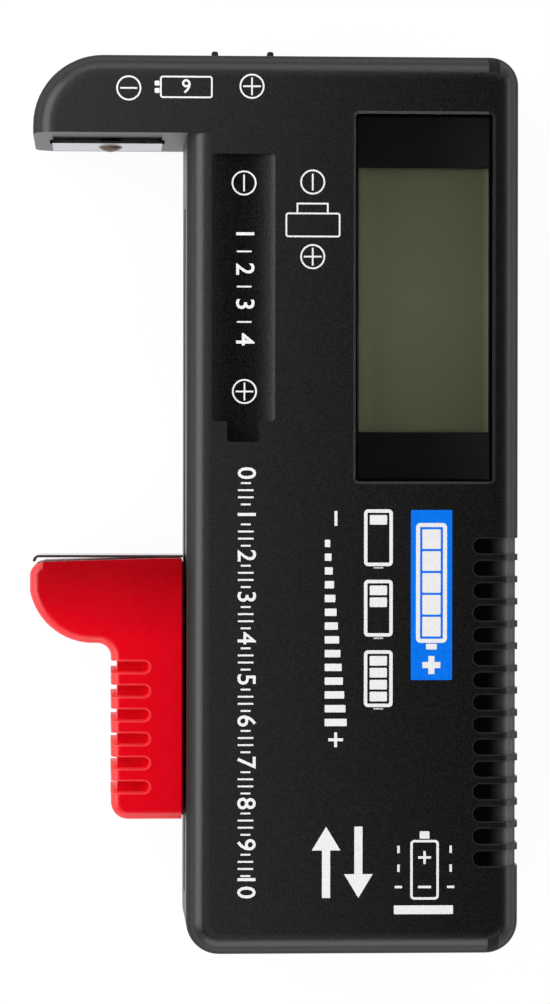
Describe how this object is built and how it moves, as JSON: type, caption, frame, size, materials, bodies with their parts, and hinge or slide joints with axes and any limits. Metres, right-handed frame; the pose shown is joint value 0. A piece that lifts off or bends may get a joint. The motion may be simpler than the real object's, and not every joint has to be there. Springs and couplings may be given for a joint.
{
  "type": "battery tester",
  "caption": "Handheld battery tester: flat case with display window, hooked contact arm, and a sliding contact with finger rest that clamps a cell.",
  "frame": {"origin": "on the rear face, at the middle of the case's main block", "axes": "+Z out of the front face, +Y along the case towards the contact arm, +X away from the slider's side; it lies on its back"},
  "size_m": [0.0598, 0.1114, 0.025],
  "materials": {
    "case_plastic": "matte black moulded plastic with a fine spark-eroded texture",
    "screw_steel": "zinc-plated steel",
    "window_acrylic": "clear polished acrylic",
    "mask_black": "glossy black print",
    "display_film": "olive-grey polarising film",
    "display_glass": "clear glass",
    "display_reflector": "olive-grey reflecting film",
    "inner_plastic": "matte black moulded plastic",
    "elastomer": "layered soft elastomer",
    "board_green": "green solder mask",
    "epoxy_black": "black epoxy",
    "ceramic_tan": "tan ceramic",
    "ferrite": "dark ferrite",
    "rail_brass": "rolled brass",
    "contact_nickel": "nickel-plated sheet",
    "stud_bronze": "darkened bronze",
    "dark_contact": "dark plated brass",
    "lead_red": "red wire insulation",
    "lead_black": "black wire insulation",
    "slider_red": "satin red moulded plastic",
    "leaf_steel": "nickel-plated spring steel"
  },
  "bodies": {
    "case": {"front_shell": "case_plastic", "rear_shell": "case_plastic", "case_screws": "screw_steel", "display_window": "window_acrylic", "display_mask": "mask_black", "display_front_film": "display_film", "display_front_glass": "display_glass", "display_rear_glass": "display_glass", "display_reflector": "display_reflector", "display_frame": "inner_plastic", "elastomer_connector": "elastomer", "circuit_board": "board_green", "board_screws": "screw_steel", "controller_drop": "epoxy_black", "chip_resistors": "epoxy_black", "chip_capacitors": "ceramic_tan", "step_up_coil": "ferrite", "load_resistor": "ceramic_tan", "contact_rail": "rail_brass", "arm_contact": "contact_nickel", "arm_contact_stud": "stud_bronze", "nine_volt_minus_contact": "dark_contact", "nine_volt_plus_contact": "dark_contact", "arm_lead": "lead_red", "rail_lead": "lead_black", "nine_volt_minus_lead": "lead_black", "nine_volt_plus_lead": "lead_red"},
    "slider": {"slider_body": "slider_red", "slider_keeper": "inner_plastic", "slider_screws": "screw_steel", "slider_wiper": "rail_brass"},
    "leaf": {"contact_leaf": "leaf_steel"}
  },
  "joints": [
    {"name": "slider_travel", "type": "slide", "parent": "case", "child": "slider", "axis": [0, 1, 0], "range_m": [-0.013, 0.05]},
    {"name": "leaf_flex", "type": "hinge", "parent": "slider", "child": "leaf", "pos_m": [-0.02354, -0.00635, 0.0125], "axis": [0, 0, 1], "range_deg": [0, 1.2], "stiffness_Nm_per_rad": 1}
  ]
}
